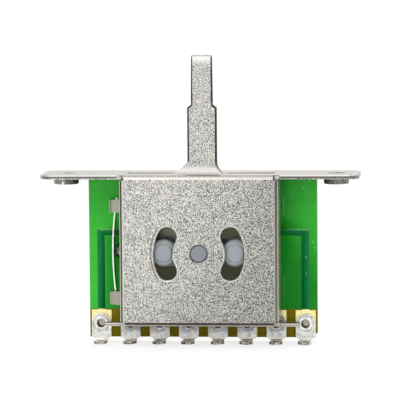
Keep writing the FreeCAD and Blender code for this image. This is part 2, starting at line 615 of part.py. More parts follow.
def build_lever():
    """Steel lever: stepped blade, flared foot, hub and a toothed sector for the detent ball."""
    body = new_body("lever", ("0", "0", f"-{RISE}"))
    middle = "Dim.stem_side_gap"
    blade, stem = "Dim.blade_width / 2", "Dim.stem_width / 2"
    blade_left, blade_right = f"({middle} - {blade})", f"({middle} + {blade})"
    stem_left, stem_right = f"({middle} - {stem})", f"({middle} + {stem})"
    tip = f"({RISE} + Dim.lever_tip)"
    shoulder = f"({RISE} + Dim.blade_shoulder)"
    stem_top = f"({shoulder} - Dim.shoulder_height)"
    left_flare = f"({RISE} + Dim.flare_left)"
    right_flare = f"({RISE} + Dim.flare_right)"
    left_corner = f"({left_flare} - ({stem_left} + Dim.cheek_left) * tan(Dim.cheek_slope))"
    hub = "(Dim.carrier_hub / 2 + Dim.carrier_hub_gap + Dim.hub_wall)"
    centre = f"({stem_right} + Dim.flare_radius)"
    flare_end = (f"({centre} - Dim.flare_radius * cos(Dim.flare_turn))",
                 f"({right_flare} - Dim.flare_radius * sin(Dim.flare_turn))")
    cheek_high = f"({flare_end[1]} - (Dim.cheek_right - {flare_end[0]}) / tan(Dim.flare_turn))"
    cheek_low = f"({cheek_high} - Dim.cheek_height)"
    low_root = f"(sqrt({SECTOR_INNER} ^ 2 - Dim.arm_half ^ 2))"
    hub_root = f"(sqrt({hub} ^ 2 - Dim.arm_half ^ 2))"
    reach = "Dim.sector_reach"
    corners = [
        (blade_left, tip), (blade_left, shoulder), (stem_left, stem_top), (stem_left, left_flare),
        ("-Dim.cheek_left", left_corner),
        (f"(-{CREST} * cos({reach}))", f"({CREST} * sin({reach}))"),
        (f"(-{CREST} * cos({reach}))", f"(-{CREST} * sin({reach}))"),
        (f"(-{SECTOR_INNER} * cos({reach}))", f"(-{SECTOR_INNER} * sin({reach}))"),
        (f"-{low_root}", "-Dim.arm_half"), (f"-{hub_root}", "-Dim.arm_half"),
        (hub, "0"), ("Dim.waist_width", "Dim.waist_height"), ("Dim.cheek_right", cheek_low),
        ("Dim.cheek_right", cheek_high), flare_end, (stem_right, right_flare),
        (stem_right, stem_top), (blade_right, shoulder), (blade_right, tip),
    ]
    arcs = {
        5: ("0.0", "0.0", 1), 7: ("0.0", "0.0", -1), 9: ("0.0", "0.0", 1),
        14: (centre, right_flare, -1),
    }
    outline = new_sketch(body, "lever_outline", "XZ")
    add_outline(outline, corners, arcs)
    extrude(outline, "Pad", "Dim.lever_thick", middle=True)

    holes = new_sketch(body, "lever_holes", "XZ")
    add_circle(holes, "0", "0", "Dim.carrier_hub + 2 * Dim.carrier_hub_gap")
    add_circle(holes, "-Dim.kidney_radius", "0", "Dim.boss_outer + 2 * Dim.boss_hole_gap")
    cut(holes, "Dim.lever_thick", middle=True)

    lowest = "(Dim.detent_step * (Dim.position_count - 1) / 2)"
    notch = new_sketch(body, "notch", "XZ")
    add_circle(notch, f"(-{SEAT_CENTRE} * cos({lowest}))", f"(-{SEAT_CENTRE} * sin({lowest}))",
               f"2 * {NOTCH_RADIUS}")
    first = cut(notch, "Dim.lever_thick", middle=True)
    repeat(body, "PolarPattern", [first], Axis=(origin_part(body, "Y_Axis"), [""]),
           Mode="Extent", Angle=f"2 * {lowest}", Occurrences=int(number("Dim.position_count")))

    top = number(tip)
    foot = number(left_flare)

    def blade_edge(edge):
        box = edge.BoundBox
        flat = box.YLength < SLACK and near(abs(box.YMin), "Dim.lever_thick / 2")
        return flat and box.ZMin > foot - SLACK and box.ZMax < top + SLACK

    dress(body, "Chamfer", "Dim.blade_bevel", blade_edge)
    return body


def build_carrier():
    """Nylon carrier: hub with a journal at each end, two spring bosses and the wipers' bar."""
    body = new_body("contact_carrier", ("0", "0", f"-{RISE}"))
    bar = new_sketch(body, "bar", "XZ", offset=f"-{BAR_FRONT}")
    end = f"({WALL} - Dim.bar_end_gap - Dim.bar_height / 2)"
    half = "(Dim.bar_height / 2)"
    add_outline(bar, [(f"-{end}", f"-{half}"), (end, f"-{half}"), (end, half), (f"-{end}", half)],
                {1: (end, "0.0", 1), 3: (f"-{end}", "0.0", 1)})
    extrude(bar, "Pad", f"{BAR_BACK} - {BAR_FRONT}", away=True)

    nose = f"({FRONT} + Dim.journal_recess)"
    face = f"({PLATE_INNER} + Dim.hub_play)"
    front_r = "(Dim.pivot_hole / 2 - Dim.journal_gap)"
    hub_r, rear_r = "(Dim.carrier_hub / 2)", "(Dim.rear_journal / 2)"
    flange_r = "(Dim.hub_flange / 2)"
    tail = f"({BOARD_BACK} - Dim.rear_journal_recess)"
    lead = "Dim.journal_lead"
    profile = new_sketch(body, "hub_profile", "XY")
    add_outline(profile, [
        ("0", nose), (f"({front_r} - {lead})", nose), (front_r, f"({nose} + {lead})"),
        (front_r, face), (hub_r, face), (hub_r, BAR_FRONT), (flange_r, BAR_FRONT),
        (flange_r, BAR_BACK), (rear_r, BAR_BACK), (rear_r, f"({tail} - {lead})"),
        (f"({rear_r} - {lead})", tail), ("0", tail),
    ])
    hub = body.newObject("PartDesign::Revolution", "hub")
    hub.Profile = profile
    hub.ReferenceAxis = (profile, ["V_Axis"])
    doc.recompute()

    crown = f"({PLATE_INNER} + Dim.boss_play)"
    rim = f"({crown} + Dim.boss_crown_rise)"
    for name, diameter, level in (("boss", "Dim.boss_outer", rim), ("crown", "Dim.boss_crown", crown)):
        sketch = new_sketch(body, name, "XZ", offset=f"-{BAR_FRONT}")
        for side in ("-", ""):
            add_circle(sketch, f"{side}Dim.kidney_radius", "0", diameter)
        extrude(sketch, "Pad", f"{BAR_FRONT} - {level}")
    dress(body, "Chamfer", "Dim.boss_bevel",
          lambda edge: is_arc(edge, "Dim.boss_outer / 2") and near(edge.Curve.Center.y, rim))

    pockets = new_sketch(body, "spring_pockets", "XZ", offset=f"-{BAR_BACK}")
    recesses = new_sketch(body, "wiper_recesses", "XZ", offset=f"-{BAR_BACK}")
    long = f"({WIPER_POINT} + Dim.wiper_margin + Dim.recess_gap)"
    wide = "(Dim.wiper_width / 2 + Dim.recess_gap)"
    for side in (-1, 1):
        add_small_round(pockets, f"{side} * Dim.kidney_radius", "0", "Dim.spring_pocket")
        middle = f"({side} * {WIPER_CENTRE})"
        add_rectangle(recesses, f"({middle} - {long})", f"-{wide}", f"({middle} + {long})", wide)
    cut(pockets, f"{BAR_BACK} - {crown} - Dim.pocket_floor", away=True)
    cut(recesses, "Dim.recess_depth", away=True)
    return body


def build_wiper(label, side):
    """Bronze bridge with a contact point at each end and a stud for its spring."""
    body = new_body(label, (f"{side} * {WIPER_CENTRE}", WIPER_BACK, f"-{RISE}"))
    strip = new_sketch(body, "wiper_strip", "XZ")
    long, wide = f"({WIPER_POINT} + Dim.wiper_margin)", "(Dim.wiper_width / 2)"
    add_round_rectangle(strip, f"-{long}", f"-{wide}", long, wide, "Dim.wiper_width / 4")
    extrude(strip, "Pad", "Dim.wiper_thick")
    points = new_sketch(body, "wiper_points", "XZ")
    for end in ("-", ""):
        add_small_round(points, f"{end}{WIPER_POINT}", "0", "Dim.wiper_point")
    extrude(points, "Pad", "Dim.wiper_point_rise", away=True)
    stud = new_sketch(body, "wiper_stud", "XZ", offset="Dim.wiper_thick")
    add_small_round(stud, f"{side} * (Dim.kidney_radius - {WIPER_CENTRE})", "0", "Dim.wiper_stud")
    extrude(stud, "Pad", "Dim.wiper_stud_rise")
    return body


def build_contact_spring(label, side):
    """Coil spring between a boss's floor and its wiper."""
    floor = f"({PLATE_INNER} + Dim.boss_play + Dim.pocket_floor)"
    seat = f"({WIPER_BACK} - Dim.wiper_thick)"
    start = f"({floor} + Dim.coil_wire / 2)"
    body = new_body(label, (f"{side} * Dim.kidney_radius", start, f"-{RISE}"))
    wire = new_sketch(body, "wire", "XY")
    half = "Dim.coil_wire / 2"
    add_rectangle(wire, f"(Dim.coil_mean / 2 - {half})", f"(-{half})",
                  f"(Dim.coil_mean / 2 + {half})", f"({half})")
    coil = body.newObject("PartDesign::AdditiveHelix", "coil")
    coil.Profile = wire
    coil.ReferenceAxis = (wire, ["V_Axis"])
    coil.Mode = "height-turns-angle"
    coil.setExpression("Height", f"{seat} - {floor} - Dim.coil_wire")
    coil.setExpression("Turns", "Dim.coil_turns")
    doc.recompute()
    return body


def tab_slots(sketch):
    """Slots for the four locking tabs."""
    for side in (-1, 1):
        x_text = f"({side} * ({WALL} - Dim.sheet_thick / 2))"
        for level in (-1, 1):
            z_text = f"(-{RISE} + {level} * {TAB_LEVEL})"
            half_x = "(Dim.sheet_thick / 2 + Dim.board_slot_gap)"
            half_z = "(Dim.tab_height / 2 + Dim.board_slot_gap)"
            add_rectangle(sketch, f"({x_text} - {half_x})", f"({z_text} - {half_z})",
                          f"({x_text} + {half_x})", f"({z_text} + {half_z})")


def terminal_x(index):
    """Place of a terminal along the row, as an expression."""
    return f"(({index} - ({len(TERMINAL_LEANS)} - 1) / 2) * Dim.terminal_pitch)"


def build_board():
    """Laminate board with holes for the pivot, the locking tabs and the rivets."""
    body = new_body("circuit_board", ("0", BOARD_FRONT, "0"))
    half = "(Dim.board_width / 2)"
    outline = new_sketch(body, "board_outline", "XZ")
    add_outline(outline, [
        (f"-{half}", BOARD_LOW), (f"({half} - Dim.board_corner)", BOARD_LOW),
        (half, f"({BOARD_LOW} + Dim.board_corner)"), (half, BOARD_TOP), (f"-{half}", BOARD_TOP),
    ])
    extrude(outline, "Pad", "Dim.board_thick", away=True)
    holes = new_sketch(body, "board_holes", "XZ")
    add_circle(holes, "0", f"-{RISE}", "Dim.rear_journal + 2 * Dim.journal_gap")
    tab_slots(holes)
    cut(holes, "Dim.board_thick")
    rivet_hole = new_sketch(body, "rivet_hole", "XZ", shift=(terminal_x(0), RIVET_ROW))
    add_small_round(rivet_hole, "0", "0", f"2 * {RIVET_HOLE}", HIDDEN_SIDES)
    row_of(body, [cut(rivet_hole, "Dim.board_thick")])
    return body


def build_mask(label, place, front):
    """Solder mask on one face of the board; the front one rises over two covered tracks."""
    body = new_body(label, ("0", place, "0"))
    half = "(Dim.board_width / 2)"
    film = new_sketch(body, "film", "XZ")
    add_rectangle(film, f"-{half}", MASK_LOW, half, BOARD_TOP)
    extrude(film, "Pad", "Dim.mask_thick")
    if front:
        leg = "Dim.trace_width / 2"
        ridge = new_sketch(body, "covered_tracks", "XZ", offset="Dim.mask_thick")
        for side, index in ((-1, 0), (1, len(TERMINAL_LEANS) - 1)):
            x_text = terminal_x(index)
            far, close = f"({x_text} + {side} * {leg})", f"({x_text} - {side} * {leg})"
            level, under = "-Dim.trace_level", "(-Dim.trace_level - Dim.trace_leg)"
            stop = f"({side} * ({WALL} + Dim.board_slot_gap))"
            add_outline(ridge, [(far, MASK_LOW), (far, level), (stop, level), (stop, under),
                                (close, under), (close, MASK_LOW)])
        extrude(ridge, "Pad", "Dim.trace_rise")
    holes = new_sketch(body, "mask_windows", "XZ", offset="Dim.mask_thick")
    add_small_round(holes, "0", f"-{RISE}", "(Dim.rear_journal + 2 * Dim.journal_gap + 2 * Dim.mask_margin)")
    tab_slots(holes)
    cut(holes, "Dim.mask_thick")
    if front:
        windows = new_sketch(body, "track_windows", "XZ", offset="Dim.mask_thick",
                             shift=("0", f"-{RISE}"))
        margin = "Dim.track_width / 2 + Dim.mask_margin"
        for side in (-1, 1):
            add_sector(windows, f"(Dim.track_inner - ({margin}))", f"({TRACK_OUTER} + {margin})",
                       "(-Dim.window_sweep)", "Dim.window_sweep", side)
        cut(windows, "Dim.mask_thick")
    return body


def build_tracks():
    """Contact tracks: on each side one long inner track and three outer tracks."""
    body = new_body("contact_tracks", ("0", BOARD_FRONT, f"-{RISE}"))
    half = "Dim.track_width / 2"
    sketch = new_sketch(body, "tracks", "XZ")
    sweeps = (
        ("(-Dim.track_sweep)", "(-Dim.track_split - Dim.track_split_half)"),
        ("(Dim.track_split_half - Dim.track_split)", "(Dim.track_split - Dim.track_split_half)"),
        ("(Dim.track_split + Dim.track_split_half)", "Dim.track_sweep"),
    )
    for side in (-1, 1):
        add_sector(sketch, f"(Dim.track_inner - {half})", f"(Dim.track_inner + {half})",
                   "(-Dim.track_sweep)", "Dim.track_sweep", side)
        for low, high in sweeps:
            add_sector(sketch, f"({TRACK_OUTER} - {half})", f"({TRACK_OUTER} + {half})",
                       low, high, side)
    extrude(sketch, "Pad", "Dim.track_thick")
    return body


def build_pads():
    """Gold plated pads under the terminals, each with the narrow end of its track."""
    body = new_body("terminal_pads", (terminal_x(0), BOARD_FRONT, "0"))
    half, notch = "(Dim.pad_width / 2)", "(Dim.pad_notch / 2)"
    sketch = new_sketch(body, "pad_outline", "XZ")
    add_outline(sketch, [
        (f"-{half}", BOARD_LOW), (half, BOARD_LOW), (half, PAD_TOP), (notch, PAD_TOP),
        (notch, MASK_LOW), (f"-{notch}", MASK_LOW), (f"-{notch}", PAD_TOP), (f"-{half}", PAD_TOP),
    ])
    add_small_round(sketch, "0", RIVET_ROW, f"2 * {RIVET_HOLE}", HIDDEN_SIDES)
    pad = extrude(sketch, "Pad", "Dim.pad_thick")
    row_of(body, [pad])
    return body


def row_of(body, originals):
    """Repeats features along the terminal row."""
    count = len(TERMINAL_LEANS)
    doc.recompute()
    repeat(body, "LinearPattern", originals, Direction=(origin_part(body, "X_Axis"), [""]),
           Mode="Extent", Length=f"{count - 1} * Dim.terminal_pitch", Occurrences=count)
    doc.recompute()


def build_terminal(index, lean):
    """Tinned terminal: riveted tongue with a round top, neck and a solder eye bent to the front."""
    body = new_body(f"terminal_{index + 1}", (terminal_x(index), PAD_FRONT, RIVET_ROW))
    body.Placement.Rotation = FreeCAD.Rotation(FreeCAD.Vector(0, 1, 0), lean)
    half, neck = "(Dim.terminal_width / 2)", "(Dim.neck_width / 2)"
    outer = "(Dim.eye_bend + Dim.terminal_thick)"
    under = "(-Dim.eye_drop)"
    centre = (f"(-{outer})", f"({under} + {outer})")
    tongue = new_sketch(body, "tongue", "XZ")
    add_outline(tongue, [
        (half, "0"), (f"-{half}", "0"), (f"-{half}", "-Dim.shoulder_drop"), (f"-{neck}", "-Dim.neck_drop"),
        (f"-{neck}", centre[1]), (neck, centre[1]), (neck, "-Dim.neck_drop"), (half, "-Dim.shoulder_drop"),
    ], {0: ("0.0", "0.0", 1)})
    add_small_round(tongue, "0", "0", f"2 * {RIVET_HOLE}", HIDDEN_SIDES)
    extrude(tongue, "Pad", "Dim.terminal_thick")

    toe = "(-Dim.terminal_thick - Dim.eye_reach + Dim.eye_width / 2)"
    top = f"({under} + Dim.terminal_thick)"
    fold = new_sketch(body, "neck_fold", "YZ")
    add_outline(fold, [
        ("0", centre[1]), ("-Dim.terminal_thick", centre[1]), (centre[0], top),
        (toe, top), (toe, under), (centre[0], under),
    ])
    extrude(fold, "Pad", "Dim.neck_width", middle=True)
    eye = new_sketch(body, "solder_eye", "XY", offset=under)
    add_small_round(eye, "0", toe, "Dim.eye_width")
    extrude(eye, "Pad", "Dim.terminal_thick")
    hole = new_sketch(body, "eye_hole", "XY", offset=top)
    add_small_round(hole, "0", toe, "Dim.eye_hole")
    cut(hole, "Dim.terminal_thick")
    return body


def build_rivets():
    """Rivets with a rolled rim and a dimple in front and a low head behind the board."""
    body = new_body("terminal_rivets", (terminal_x(0), PAD_FRONT, RIVET_ROW))
    face = "(-Dim.terminal_thick)"
    rim = f"({face} - Dim.rivet_rim_rise)"
    back = "(Dim.pad_thick + Dim.board_thick)"
    top = f"({back} + Dim.rivet_head_rise)"
    made = []
    for name, diameter, sides, start, length in (
        ("head", "Dim.rivet_head", ROUND_SIDES, top, "Dim.rivet_head_rise"),
        ("shank", "Dim.rivet_shank", HIDDEN_SIDES, back, f"{back} - {face}"),
        ("rim", "Dim.rivet_rim", ROUND_SIDES, face, "Dim.rivet_rim_rise"),
    ):
        sketch = new_sketch(body, f"rivet_{name}", "XZ", offset=f"-{start}")
        add_small_round(sketch, "0", "0", diameter, sides)
        made.append(extrude(sketch, "Pad", length))
    dimple = new_sketch(body, "dimple", "XZ", offset=f"-{rim}")
    add_small_round(dimple, "0", "0", "Dim.rivet_dimple")
    made.append(cut(dimple, "Dim.rivet_dimple_depth"))
    row_of(body, made)
    return body


def build_detent_spring():
    """Bowed leaf spring that presses the ball towards the lever."""
    body = new_body("detent_spring", ("0", "0", f"-{RISE}"))
    inner = f"({WALL} + Dim.ball_proud + Dim.ball_gap)"
    centre = f"(Dim.spring_bow - {inner} - Dim.spring_thick / 2)"
    thin, thick = "(Dim.spring_bow - Dim.spring_thick / 2)", "(Dim.spring_bow + Dim.spring_thick / 2)"
    turn = f"asin({SPRING_HALF} / Dim.spring_bow)"

    def at(radius, sign):
        return f"({centre} - {radius} * cos({turn}))", f"({sign} * {radius} * sin({turn}))"
    band = new_sketch(body, "leaf", "XZ")
    add_outline(band, [at(thin, 1), at(thick, 1), at(thick, -1), at(thin, -1)],
                {1: (centre, "0.0", 1), 3: (centre, "0.0", -1)})
    extrude(band, "Pad", "Dim.spring_width", middle=True)
    return body


def build_ball():
    """Steel detent ball at the height of the notches' crests."""
    ball = doc.addObject("Part::Sphere", "detent_ball")
    ball.Label = "detent_ball"
    ball.setExpression("Radius", "Dim.ball_size / 2")
    ball.setExpression(".Placement.Base.x", f"-{BALL_CENTRE}")
    ball.setExpression(".Placement.Base.z", f"-{RISE}")
    return ball


def check_and_write(pieces):
    """Stops at a failed object, then writes each piece under its label."""
    doc.recompute()
    failed = [item.Name for item in doc.Objects if {"Invalid", "Error"} & set(item.State)]
    if failed:
        raise RuntimeError(f"failed objects: {failed}")
    os.makedirs("parts", exist_ok=True)
    for piece in pieces:
        shape = piece.Shape
        if shape.isNull() or not shape.isValid():
            raise RuntimeError(f"{piece.Label} has no valid shape")
        shape.exportStep(os.path.join("parts", f"{piece.Label}.step"))
        print(f"{piece.Label}: {len(shape.Solids)} solids, {shape.Volume:.2f} mm3")


pieces = [
    build_frame(),
    build_lever(),
    build_carrier(),
    build_wiper("wiper_left", -1),
    build_wiper("wiper_right", 1),
    build_contact_spring("contact_spring_left", -1),
    build_contact_spring("contact_spring_right", 1),
    build_board(),
    build_mask("solder_mask_front", BOARD_FRONT, True),
    build_mask("solder_mask_rear", f"({BOARD_BACK} + Dim.mask_thick)", False),
    build_tracks(),
    build_pads(),
    build_rivets(),
    build_detent_spring(),
    build_ball(),
]
pieces += [build_terminal(index, lean) for index, lean in enumerate(TERMINAL_LEANS)]
check_and_write(pieces)
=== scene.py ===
import json
import math
import bpy
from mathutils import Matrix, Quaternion, Vector


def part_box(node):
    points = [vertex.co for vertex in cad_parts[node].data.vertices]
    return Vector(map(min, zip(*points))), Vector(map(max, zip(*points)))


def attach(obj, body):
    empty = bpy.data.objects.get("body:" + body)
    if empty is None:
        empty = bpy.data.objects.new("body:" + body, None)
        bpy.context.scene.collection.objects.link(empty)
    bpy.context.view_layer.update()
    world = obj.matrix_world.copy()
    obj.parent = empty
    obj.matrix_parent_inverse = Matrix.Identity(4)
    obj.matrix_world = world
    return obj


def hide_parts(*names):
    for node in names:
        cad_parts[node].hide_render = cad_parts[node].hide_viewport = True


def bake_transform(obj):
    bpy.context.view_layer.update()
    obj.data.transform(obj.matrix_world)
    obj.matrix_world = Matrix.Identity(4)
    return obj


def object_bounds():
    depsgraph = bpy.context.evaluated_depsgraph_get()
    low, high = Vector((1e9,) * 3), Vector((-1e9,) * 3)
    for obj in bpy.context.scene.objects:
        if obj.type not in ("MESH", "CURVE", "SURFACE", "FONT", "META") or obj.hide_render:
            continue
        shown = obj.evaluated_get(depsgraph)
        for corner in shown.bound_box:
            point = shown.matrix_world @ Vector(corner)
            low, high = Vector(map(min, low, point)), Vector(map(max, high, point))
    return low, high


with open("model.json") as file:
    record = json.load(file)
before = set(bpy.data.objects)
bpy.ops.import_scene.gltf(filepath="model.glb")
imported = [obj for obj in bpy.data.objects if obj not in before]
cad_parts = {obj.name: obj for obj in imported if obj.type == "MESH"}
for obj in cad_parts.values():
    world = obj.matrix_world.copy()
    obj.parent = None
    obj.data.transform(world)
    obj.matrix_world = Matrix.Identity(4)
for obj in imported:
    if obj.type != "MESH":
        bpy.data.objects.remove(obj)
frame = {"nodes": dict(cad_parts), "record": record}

# Guitar pickup selector switch: finishes, fine details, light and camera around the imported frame.
# Settings are in millimetres and degrees. X runs along the plate, Y to the back and Z up.
mm = 0.001
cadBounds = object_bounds()
nodes = frame["nodes"]
bodyOf = {node: body for body, members in frame["record"]["behaviour"]["bodies"].items() for node in members}
slotOf = {part["node"]: part["material_slot"] for part in frame["record"]["subparts"]}
pivot = Vector((0, 0, -11.9 * mm))
print("frame loaded:", len(nodes), "nodes")


class Signal:
    # a socket whose sums and products become Math nodes
    def __init__(self, maker, socket):
        self.maker = maker
        self.socket = socket

    def op(self, kind, *others, clamp=False):
        values = dict(enumerate([self, *others]))
        return self.maker.node("ShaderNodeMath", {"operation": kind, "use_clamp": clamp}, values)

    def __add__(self, other): return self.op("ADD", other)
    def __radd__(self, other): return self.op("ADD", other)
    def __sub__(self, other): return self.op("SUBTRACT", other)
    def __rsub__(self, other): return self.maker.lift(other).op("SUBTRACT", self)
    def __mul__(self, other): return self.op("MULTIPLY", other)
    def above(self, other): return self.op("GREATER_THAN", other)
    def below(self, other): return self.op("LESS_THAN", other)
    def larger(self, other): return self.op("MAXIMUM", other)
    def smaller(self, other): return self.op("MINIMUM", other)
    def wrapped(self, high, low): return self.op("WRAP", high, low)
    def size(self): return self.op("ABSOLUTE")
    def root(self): return self.op("SQRT")
    def clamped(self): return self.op("ADD", 0.0, clamp=True)

    def ramp(self, low, high):
        # 0 below low, 1 above high, smooth between
        return self.maker.node("ShaderNodeMapRange", {"interpolation_type": "SMOOTHSTEP"},
                               {"Value": self, "From Min": low, "From Max": high})

    def rise(self, low, high):
        # the same between two places along the piece
        return self.ramp(low * mm, high * mm)


class NodeMaker:
    # node() makes every node of a tree and returns one of its outputs
    def __init__(self, tree):
        self.tree = tree

    def node(self, kind, settings=None, values=None, output=0):
        made = self.tree.nodes.new(kind)
        for name, value in (settings or {}).items():
            setattr(made, name, value)
        for key, value in (values or {}).items():
            self.join(made.inputs[key], value)
        return Signal(self, made.outputs[output])

    def join(self, socket, value):
        if isinstance(value, Signal):
            self.tree.links.new(value.socket, socket)
        elif socket.type == "RGBA":
            socket.default_value = (*value, 1)
        else:
            socket.default_value = value

    def show(self, surface):
        output = next(n for n in self.tree.nodes if n.type in ("OUTPUT_MATERIAL", "OUTPUT_WORLD"))
        self.join(output.inputs["Surface"], surface)

    def lift(self, value):
        return self.node("ShaderNodeMath", {"operation": "ADD"}, {0: value, 1: 0.0})


class Finish(NodeMaker):
    # one material, laid out on the piece's Object coordinates
    def __init__(self, name, **fixed):
        self.material = bpy.data.materials.new(name)
        self.material.use_nodes = True
        super().__init__(self.material.node_tree)
        self.shader = next(n for n in self.tree.nodes if n.type == "BSDF_PRINCIPLED")
        for socket, value in fixed.items():
            self.feed(socket.replace("_", " "), value)
        self.place = self.node("ShaderNodeTexCoord", output="Object")
        axes = self.node("ShaderNodeSeparateXYZ", values={0: self.place}).socket.node.outputs
        self.x, self.y, self.z = (Signal(self, axis) for axis in axes)

    def feed(self, socket, value):
        self.join(self.shader.inputs[socket], value)

    def noise(self, size, detail=2, rough=0.55, seed=(0, 0, 0)):
        # size is the width of a blotch
        spot = self.node("ShaderNodeMapping", values={"Vector": self.place, "Location": seed})
        return self.node("ShaderNodeTexNoise", values={
            "Vector": spot, "Scale": 1 / (size * mm), "Detail": detail, "Roughness": rough})

    def cells(self, size):
        return self.node("ShaderNodeTexVoronoi", values={"Vector": self.place, "Scale": 1 / (size * mm)})

    def wave(self, direction, size, distortion):
        # soft stripes, size apart
        return self.node("ShaderNodeTexWave", {"bands_direction": direction}, {
            "Vector": self.place, "Scale": 1 / (size * mm) / math.tau, "Distortion": distortion})

    def mix(self, first, second, share, kind="MIX"):
        # a Mix node's colours are its sockets 6 and 7, and its colour output is 2
        return self.node("ShaderNodeMix", {"data_type": "RGBA", "blend_type": kind},
                         {0: share, 6: first, 7: second}, output=2)

    def bump(self, height, strength, depth):
        # depth is the height of the relief
        self.feed("Normal", self.node("ShaderNodeBump", values={
            "Height": height, "Strength": strength, "Distance": depth * mm}))

    def span(self, signal, low, high, soft=0.04):
        # 1 between two places, with soft ends
        return signal.rise(low - soft, low + soft) * (1 - signal.rise(high - soft, high + soft))

    def within(self, x0, x1, z0, z1, soft=0.04):
        return self.span(self.x, x0, x1, soft) * self.span(self.z, z0, z1, soft)

    def anyOf(self, boxes, soft=0.04):
        # 1 inside one of several (x0, x1, z0, z1)
        found = self.within(*boxes[0], soft=soft)
        for box in boxes[1:]:
            found = found.larger(self.within(*box, soft=soft))
        return found

    def zone(self, place):
        # 1 inside the ranges given for side, x, y and z
        found = None
        for name in [key for key in ("side", "x", "y", "z") if key in place]:
            along = self.x.size() if name == "side" else getattr(self, name)
            part = self.span(along, *place[name], place.get("soft", 0.03))
            found = part if found is None else found * part
        return found

    def fromAxis(self, x, z):
        # distance in millimetres from a line along Y
        across = (self.x - x * mm) * 1000
        up = (self.z - z * mm) * 1000
        return (across * across + up * up).root()


nickel = {
    "dark": (0.10, 0.098, 0.090), "light": (0.85, 0.85, 0.82), "contrast": (0.39, 0.61),
    "grain": 0.082, "pitGrain": 1.5, "fineShare": 0.6,
    "warm": (0.90, 0.80, 0.74), "warmShare": 0.18, "blotch": 1.6,
    "rough": (0.26, 0.42), "relief": 0.02, "reliefShare": 0.5,
}
# painted shade on the front plate, darker to the lower right, with darker pits there
plateShade = {"tone": (0.74, 0.74, 0.735), "lean": 2.04, "upTo": 12, "reach": (-9.7, 40),
             "pit": (0.03, 0.03, 0.028), "pitShare": 0.5, "pitsAndShade": (7, 11.5)}

# zones painted on the steel, by place, most of them painted reflections, highlights and shade: side is the
# distance from the middle plane
bendDepth, wingFront, earEdge, bladeEdge = (-5.4, -4.4), (-5.4, -5.0), (-0.5, -0.2), (-0.57, 0.57)
frameZones = (
    # top of the plate, then painted light on the slot's rear wall
    {"z": (-0.03, 0.2), "tone": (0.44, 0.42, 0.40), "share": 0.88},
    {"side": (-1, 11.2), "y": (1.3, 1.7), "z": (-0.7, 0.1), "tone": (0.92, 0.90, 0.86), "share": 0.9},
    # the front plate's top bend: painted reflections as a warm band and a pale line below it, and a painted
    # shade line above it
    {"side": (-1, 12.1), "y": bendDepth, "z": (-0.62, -0.15), "tone": (0.57, 0.535, 0.495), "share": 0.9},
    {"side": (-1, 12.1), "y": bendDepth, "z": (-0.66, -0.58), "tone": (0.9, 0.89, 0.87), "share": 0.9},
    {"side": (-1, 12.1), "y": bendDepth, "z": (-0.14, -0.02), "tone": (0.17, 0.155, 0.14), "share": 0.92},
    # left bend, from the wall inwards, painted reflections: cream, dark, pale
    {"x": (-12.2, -11.86), "y": (-5.4, -4.3), "z": (-22.9, -0.9), "tone": (0.56, 0.54, 0.46), "share": 0.9},
    {"x": (-11.88, -11.60), "y": bendDepth, "z": (-22.6, -0.9), "tone": (0.075, 0.068, 0.055), "share": 0.9},
    {"x": (-11.58, -11.36), "y": bendDepth, "z": (-22.4, -0.9), "tone": (0.60, 0.61, 0.59), "share": 0.85},
    # right bend, from the plate outwards, painted reflections: dull, dark, olive, and the wall behind it
    {"x": (11.38, 11.53), "y": bendDepth, "z": (-22.4, -0.9), "tone": (0.42, 0.42, 0.39), "share": 0.8},
    {"x": (11.53, 11.9), "y": bendDepth, "z": (-22.9, -0.9), "tone": (0.17, 0.163, 0.13), "share": 0.92},
    {"x": (11.9, 12.2), "y": (-5.2, -4.4), "z": (-22.9, -0.9), "tone": (0.46, 0.45, 0.39), "share": 0.9},
    {"x": (11.9, 12.2), "y": (-4.4, 2.6), "z": (-22.9, -0.9), "tone": (0.56, 0.56, 0.50), "share": 0.55},
    # bottom bend: a painted shade line, and a painted reflection on the strip under it
    {"side": (-1, 12.0), "y": bendDepth, "z": (-22.72, -22.38), "tone": (0.035, 0.03, 0.028), "share": 0.9},
    {"side": (-1, 12.0), "z": (-24, -22.74), "tone": (0.60, 0.55, 0.47), "share": 0.9},
    # ears painted pale as a reflection, with painted shade lines along their cut edges
    {"side": (12.3, 15.5), "z": (-24, -22.2), "tone": (0.75, 0.73, 0.64), "share": 0.75},
    {"side": (12.3, 15.5), "y": earEdge, "z": (-23.06, -22.8), "tone": (0.04, 0.035, 0.025), "share": 0.9},
    {"side": (12.3, 15.5), "y": earEdge, "z": (-23.36, -23.26), "tone": (0.07, 0.065, 0.05), "share": 0.85},
    # the wings' front edges, dark below, with a painted highlight along the top
    {"side": (12.3, 24.5), "y": wingFront, "z": (-0.45, -0.15), "tone": (0.085, 0.085, 0.07), "share": 0.8},
    {"side": (12.3, 24.5), "y": wingFront, "z": (-0.14, -0.01), "tone": (0.98, 0.97, 0.95), "share": 0.8},
    # painted shade under the wings and on the inner halves of the collars, with a painted highlight streak
    # on the left one
    {"side": (15, 24.5), "z": (-2, -0.62), "tone": (0.12, 0.11, 0.085), "share": 0.66},
    {"x": (-20.5, -18.0), "z": (-2, -0.85), "tone": (0.03, 0.028, 0.02), "share": 0.6, "soft": 0.1},
    {"x": (-21.05, -20.85), "z": (-2, -1.25), "tone": (1.0, 1.0, 0.95), "share": 0.95},
    {"x": (18.0, 20.4), "z": (-2, -0.85), "tone": (0.04, 0.037, 0.028), "share": 0.5, "soft": 0.1},
    # hooks on the left wall
    {"x": (-15, -12.09), "z": (-21, -2), "tone": (0.33, 0.325, 0.27), "share": 0.95},
)
